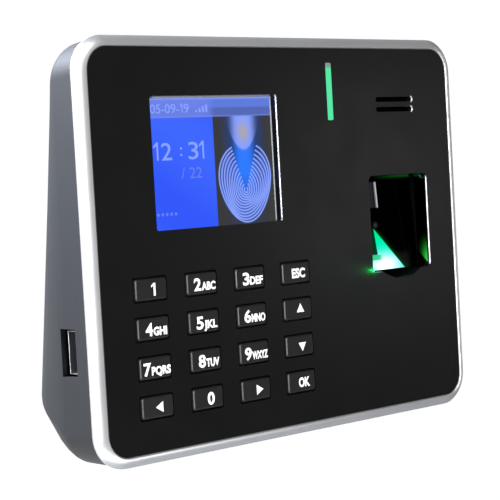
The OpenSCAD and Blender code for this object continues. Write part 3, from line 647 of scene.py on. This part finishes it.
link("screen_status", meshOf("screen_status", [
    pad(1.1, 1.1, 0.5, (-57.6 + 1.9 * i, 10.9), screenTop, screenTop + 0.02, 0.01, 4) for i in range(5)]),
    dimLineLight, smooth=False)

def ridgeRibbons(r):
    # Nested rounded cups: each ridge is an ellipse that swells with a slow sine and stays open at its top,
    # carried as a flat ribbon across its own normal.
    count = int(r["half"][0] / r["pitch"])
    share = (np.arange(count) + 0.8) / count
    t = np.linspace(r["open"], 2 * math.pi - r["open"], 96)
    k, a = np.meshgrid(share, t, indexing="ij")
    sway = 1 + r["sway"] * 0.06 * np.sin(3 * a + 5 * k)
    x = r["centre"][0] + r["half"][0] * k * np.sin(a) * sway
    y = r["centre"][1] + r["half"][1] * (k * np.cos(a) * sway - 0.25 * (1 - k))
    dx, dy = np.gradient(x, axis=1), np.gradient(y, axis=1)
    long = np.hypot(dx, dy)
    nx, ny = -dy / long, dx / long
    parts = []
    for side in (-0.5, 0.5):
        across = side * r["width"]
        parts.append(np.stack([x + across * nx, y + across * ny, np.full_like(x, screenTop + 0.01)], -1))
    strip = np.stack(parts, 2)  # ridge, along, across, xyz
    return [(strip[i].reshape(-1, 3), gridFaces(strip.shape[1], 2).tolist()) for i in range(count)]


def raised(name, parts, mat, thick=0.03):
    data = meshOf(name, parts)
    data.materials.append(mat)
    obj = bpy.data.objects.new(name, data)
    scene.collection.objects.link(obj)
    wall = obj.modifiers.new("thickness", "SOLIDIFY")
    wall.thickness = thick * mm
    wall.offset = 0
    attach(obj, "terminal")
    return obj


raised("screen_ridges", ridgeRibbons(ridges), lineLight)

edgeLight = finish("display edge, brushed grey", "#9a9ea4", 0.45, grit=0.3, depth=0.002)
link("screen_edge_right", meshOf("screen_edge_right", [pad(1.2, 43.4, 0.2, (-4.1, 27.3), -2.98, -2.8, 0.05, 3)]),
     edgeLight)
link("screen_edge_top", meshOf("screen_edge_top", [pad(57.0, 0.6, 0.15, (-33.0, 49.25), -2.98, -2.85, 0.05, 3)]),
     edgeLight)
refined("lcd_glass", "displayGlass", 0.1)
print("display lit")

prismLow, prismHigh = faceBox("prism")
glassSlope = -2.5 / (prismHigh[1] - prismLow[1])


def onGlass(a, b):
    return np.column_stack([a, b, -6 + glassSlope * (b - prismLow[1]) + 0.06])


sensorLight = {
    "apex": (48.95, -0.4), "foot": (63.9, -15.8), "notch": (49.9, -10.1),  # corners of the lit wedge on the glass
    "hot": (53.4, -14.2), "hotSize": (6.6, 3.2),
    "green": "#00f08a", "cyan": "#00f4e0", "rim": "#0a5a14", "shade": "#06351a",
}


def glassLight(a, b):
    # Green wedge between two slanted lines, whiter near its hot spot, with dim stray reflections beside it.
    s = sensorLight
    ax, ay = s["apex"]
    fx, fy = s["foot"]
    run = np.array([fx - ax, fy - ay]) / math.hypot(fx - ax, fy - ay)
    inside = -((a - ax) * -run[1] + (b - ay) * run[0]) # distance to the lower left of the slanted edge
    left = a - (ax + (ay - b) * (s["notch"][0] - ax) / (ay - s["notch"][1]))
    below = s["notch"][1] - b
    open_ = np.maximum(left, below)
    edge = smoothStep(inside, -0.15, 0.15) * smoothStep(open_, -0.15, 0.15)
    warm = smoothStep(-b, 0, 13)
    c = blend(np.tile(tone(s["green"]), (len(a), 1)), tone(s["cyan"]), warm)
    hot = np.exp(-(((a - s["hot"][0]) / s["hotSize"][0]) ** 2) - ((b - s["hot"][1]) / s["hotSize"][1]) ** 2)
    c = c + (hot * 1.5)[:, None] * np.array([1.0, 0.9, 1.0])
    step = smoothStep(below, 0, 0.2) * (1 - smoothStep(below, 1.9, 2.2)) * (1 - smoothStep(a, 50.5, 53.5))
    c = blend(c, np.tile(tone("#00c268"), (len(a), 1)), step * 0.85)
    light = c * edge[:, None]
    fringe = np.exp(-np.clip(-inside, 0, None) / 0.5) * (inside < 0) * smoothStep(-b, 0, 3)
    light += fringe[:, None] * tone(s["rim"])
    shade = (left < 0) * (below < 0) * smoothStep(-b, -1, 3)
    light += shade[:, None] * tone(s["shade"])
    # stray reflections: a dark strip and a bright line at the upper left, a faint patch right of the wedge's foot
    tall = smoothStep(b, 7.2, 7.6) * (1 - smoothStep(b, 16.6, 17.1))
    light += (tall * (1 - smoothStep(a, 50.6, 50.9)))[:, None] * tone("#26262a")
    light += (tall * smoothStep(a, 51.2, 51.5) * (1 - smoothStep(a, 52.4, 52.7)))[:, None] * tone("#6d6f72")
    light += (tall * smoothStep(a, 52.0, 52.2) * (1 - smoothStep(a, 52.5, 52.7)))[:, None] * tone("#b4b6b9")
    light += (np.exp(-((a - 50.2) / 0.9) ** 2 - ((b - 0.9) / 0.8) ** 2))[:, None] * tone("#3c3c3e")
    patch = smoothStep(-inside, 0.5, 1.2) * smoothStep(-b, 8.5, 12) * (1 - smoothStep(a, 64, 69))
    light += patch[:, None] * tone("#131415")
    strip = smoothStep(b, 17.6, 18.8) * smoothStep(a, 50, 68)
    light += strip[:, None] * tone("#0a4a14")
    return light


glassPaint = glow("lit sensor glass", base="#000000", rough=0.1, shine=0.02)
paintedSheet("sensor_light", onGlass, (prismLow[0] + 0.1, prismHigh[0] - 0.1, prismLow[1] + 0.05, prismHigh[1] - 0.1),
             0.22, glassLight, glassPaint)


def wallLight(a, b):
    # Green reflections on the right wall; a is depth, b is height: a kite low down and a bright point at the top.
    kite = (1 - smoothStep(-b - 14.3 + (a + 1.3) * -1.02, -0.2, 0.1)) * smoothStep(-b, 1.0, 14.0) ** 2.5
    kite *= np.exp(-(((a + 1.3) / 2.0) ** 2)) * smoothStep(-a, 0.9, 1.3)
    spot = np.exp(-((a + 2.0) / 0.7) ** 2 - ((b - 18.3) / 0.5) ** 2)
    strip = smoothStep(b, 17.6, 18.6) * smoothStep(-a, 0.8, 1.2)
    return (kite[:, None] * tone("#30c83c") + spot[:, None] * tone("#9dffac") * 1.0
            + strip[:, None] * tone("#08300e"))


wallX = fingerHigh[0] - 0.02


def onWall(a, b):
    return np.column_stack([np.full(len(a), wallX), b, a])


paintedSheet("sensor_wall_light", onWall, (-6.0, -0.9, -15.7, 19.0), 0.2, wallLight, glassPaint,
             thick=0.02)
refined("prism", "prismGlass", 0.15)
refined("sensor_well", "well", 0.15)
def litGroup(name, starts):
    # A group of the pieces whose names start in one of these ways, for a lamp that lights only them.
    group = bpy.data.collections.new(name)
    for obj in scene.objects:
        if obj.name.startswith(starts):
            group.objects.link(obj)
    return group


# glare round the wedge's corner
spill = {"spot": (41.3, -15.2, 0.5), "watts": 0.004, "radius": 0.3, "colour": "#00ff70"}


def pointLamp(name, p):
    data = bpy.data.lights.new(name, "POINT")
    data.energy, data.shadow_soft_size = p["watts"], p["radius"] * mm
    data.color = rgb(p["colour"])[:3]
    obj = bpy.data.objects.new(name, data)
    obj.matrix_world = Matrix.Translation(Vector(toRow([p["spot"]])[0]))
    obj.light_linking.receiver_collection = litGroup("lit by the glare", ("front_panel", "sensor_well"))
    scene.collection.objects.link(obj)


pointLamp("sensorSpill", spill)
print("sensor lit")

world = bpy.data.worlds.new("studio")
world.use_nodes = True
world.node_tree.nodes["Background"].inputs[0].default_value = (1, 1, 1, 1)
world.node_tree.nodes["Background"].inputs[1].default_value = 0.07
scene.world = world
scene.view_settings.view_transform = "Standard"

lamps = {
    # name: (direction in the face's axes, distance m, size m, watts, colour, on the front only)
    "keyStrip": ((-0.76, 0.12, 0.66), 0.9, (0.12, 0.7), 14, "#ffffff", True),
    "backSoftbox": ((-0.9, 1.0, -0.62), 0.34, (0.16, 0.16), 3.2, "#e9f0ff", False),
    "rightStrip": ((1.0, 0.0, 0.12), 0.7, (0.08, 0.6), 0.25, "#ffffff", False),
    "panelSheen": ((0.757, 0.01, 0.653), 0.64, (0.12, 0.16), 0.085, "#ffffff", True),
    "topFill": ((-0.25, 1.0, 0.8), 1.1, (0.5, 0.4), 5.5, "#ffffff", True),
    "lowFill": ((-0.2, -1.0, 0.7), 0.3, (0.5, 0.12), 0.5, "#ffffff", True),
}


frontOnly = litGroup("lit by the front lamps", (
    "front_", "sensor_well", "prism", "lcd_glass",
    "keypad_mat", "usb_shell", "key_", "screen_edge"))


def areaLamp(name, direction, distance, size, power, colour, front):
    data = bpy.data.lights.new(name, "AREA")
    data.shape = "RECTANGLE"
    data.size, data.size_y = size
    data.energy = power
    data.color = rgb(colour)[:3]
    aim = Vector(toRow([(0, 0, 0)])[0])
    way = Vector(faceTurn @ np.array(direction)).normalized()
    obj = bpy.data.objects.new(name, data)
    obj.matrix_world = Matrix.Translation(aim + way * distance) @ way.to_track_quat("Z", "Y").to_matrix().to_4x4()
    if front:
        obj.light_linking.receiver_collection = frontOnly
    scene.collection.objects.link(obj)


for name, lamp in lamps.items():
    areaLamp(name, *lamp)

paper = {"level": -0.33, "front": 0.2, "back": 1.7, "rise": 2.6, "bend": 0.5, "half": 3.5, "floor": 3.0}  # metres


def stagePiece(name, y, z, half, mat):
    # A sheet of paper: the line (y, z) carried sideways from -half to half.
    x = np.tile(np.array([-half, half]), (len(y), 1))
    grid = np.stack([x, np.tile(y[:, None], (1, 2)), np.tile(z[:, None], (1, 2))], -1)
    data = bpy.data.meshes.new(name)
    data.from_pydata(grid.reshape(-1, 3).tolist(), [], gridFaces(len(y), 2).tolist())
    data.shade_smooth()
    data.materials.append(mat)
    obj = bpy.data.objects.new(name, data)
    obj.visible_diffuse = False
    scene.collection.objects.link(obj)


def paperSweep(p):
    # A pale floor, and behind the object lit paper that runs flat, bends up by a quarter circle and rises.
    pale = finish("pale studio paper", "#f1f1ef", 0.8, Specular_IOR_Level=0.1)
    lit = finish("lit studio paper", "#f6f6f4", 0.8, Specular_IOR_Level=0.1)
    lit.node_tree.nodes["Principled BSDF"].inputs["Emission Color"].default_value = (1, 1, 1, 1)
    lit.node_tree.nodes["Principled BSDF"].inputs["Emission Strength"].default_value = 0.95
    a = np.radians(np.linspace(0, 90, 16))
    y = np.concatenate([[p["front"]], p["back"] - p["bend"] + p["bend"] * np.sin(a), [p["back"]]])
    z = np.concatenate([[0], p["bend"] * (1 - np.cos(a)), [p["rise"]]]) + p["level"]
    stagePiece("backdrop", y, z, p["half"], lit)
    stagePiece("floor", np.array([-p["floor"], p["front"]]), np.full(2, p["level"]), p["half"], pale)


paperSweep(paper)
print("studio lit")
